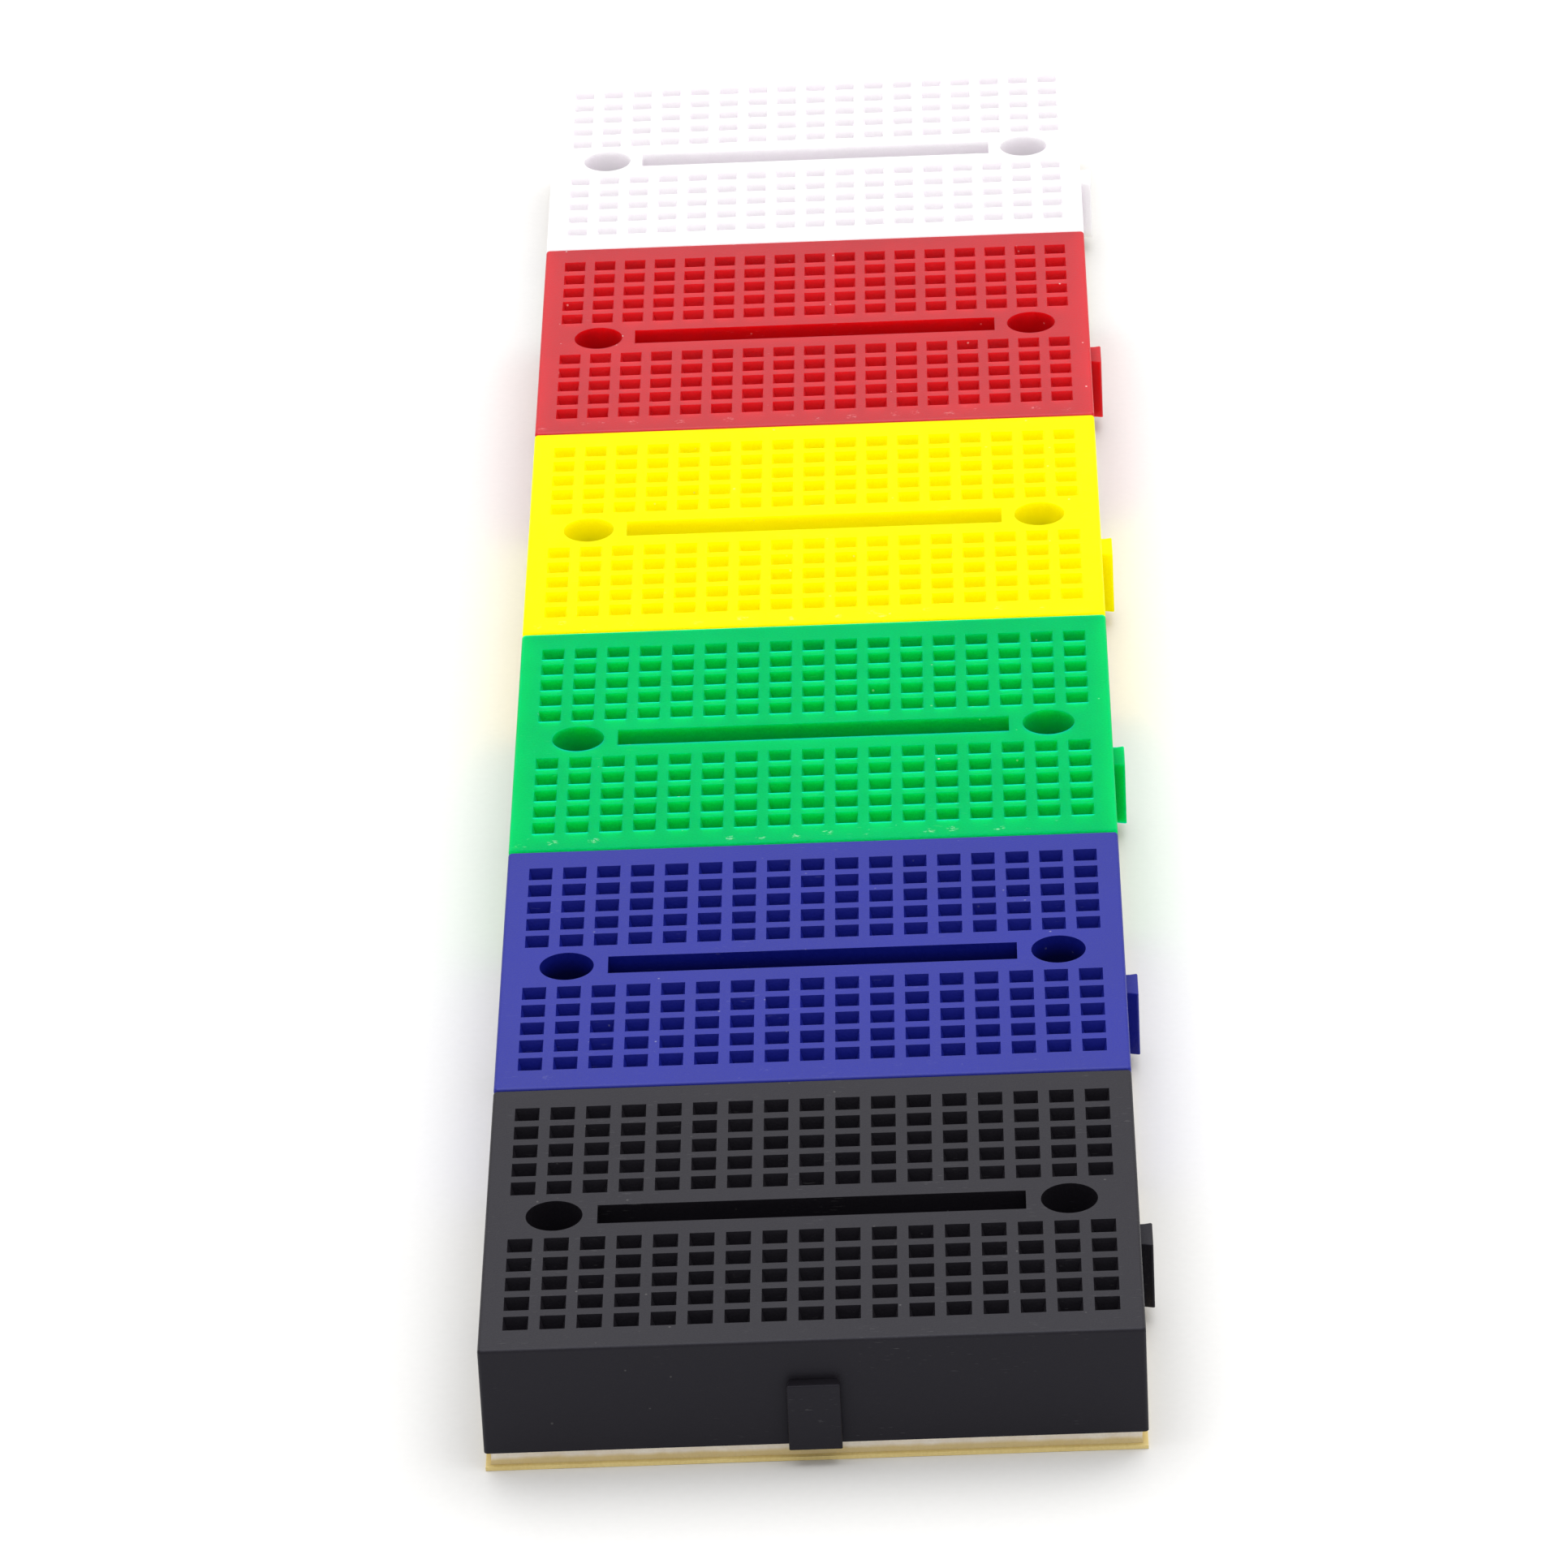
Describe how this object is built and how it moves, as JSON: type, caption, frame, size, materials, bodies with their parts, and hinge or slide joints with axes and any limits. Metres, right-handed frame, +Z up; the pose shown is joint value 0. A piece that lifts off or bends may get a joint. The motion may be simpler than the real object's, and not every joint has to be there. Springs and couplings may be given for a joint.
{
  "type": "solderless breadboard",
  "caption": "Row of small solderless breadboards in different colours, dovetailed edge to edge, with spring-clip tie points, centre troughs and foam-tape backs.",
  "frame": {"origin": "middle of the row's underside, on the bench: X 0 is the middle tie-point column, Y 0 the seam between the third and fourth boards", "axes": "+Z up out of the tie points, +Y from the front board to the back board, +X to the right along a trough"},
  "size_m": [0.0467, 0.2108, 0.0098],
  "materials": {
    "plastic_black": "injection-moulded, fine satin texture",
    "plastic_blue": "injection-moulded, fine satin texture",
    "plastic_green": "injection-moulded, fine satin texture",
    "plastic_yellow": "injection-moulded, fine satin texture",
    "plastic_red": "injection-moulded, fine satin texture",
    "plastic_white": "injection-moulded, fine satin texture",
    "contact_metal": "nickel-plated phosphor bronze strip",
    "foam": "closed-cell foam tape, die cut",
    "liner": "waxy release paper, tan"
  },
  "bodies": {
    "board_black": {"housing_black": "plastic_black", "clips_front_black": "contact_metal", "clips_rear_black": "contact_metal", "foam_black": "foam", "liner_black": "liner"},
    "board_blue": {"housing_blue": "plastic_blue", "clips_front_blue": "contact_metal", "clips_rear_blue": "contact_metal", "foam_blue": "foam", "liner_blue": "liner"},
    "board_green": {"housing_green": "plastic_green", "clips_front_green": "contact_metal", "clips_rear_green": "contact_metal", "foam_green": "foam", "liner_green": "liner"},
    "board_yellow": {"housing_yellow": "plastic_yellow", "clips_front_yellow": "contact_metal", "clips_rear_yellow": "contact_metal", "foam_yellow": "foam", "liner_yellow": "liner"},
    "board_red": {"housing_red": "plastic_red", "clips_front_red": "contact_metal", "clips_rear_red": "contact_metal", "foam_red": "foam", "liner_red": "liner"},
    "board_white": {"housing_white": "plastic_white", "clips_front_white": "contact_metal", "clips_rear_white": "contact_metal", "foam_white": "foam", "liner_white": "liner"}
  },
  "joints": [
    {"name": "red_lift", "type": "slide", "parent": "board_white", "child": "board_red", "axis": [0, 0, 1], "range_m": [0, 0.01]},
    {"name": "yellow_lift", "type": "slide", "parent": "board_red", "child": "board_yellow", "axis": [0, 0, 1], "range_m": [0, 0.01]},
    {"name": "green_lift", "type": "slide", "parent": "board_yellow", "child": "board_green", "axis": [0, 0, 1], "range_m": [0, 0.01]},
    {"name": "blue_lift", "type": "slide", "parent": "board_green", "child": "board_blue", "axis": [0, 0, 1], "range_m": [0, 0.01]},
    {"name": "black_lift", "type": "slide", "parent": "board_blue", "child": "board_black", "axis": [0, 0, 1], "range_m": [0, 0.01]}
  ]
}
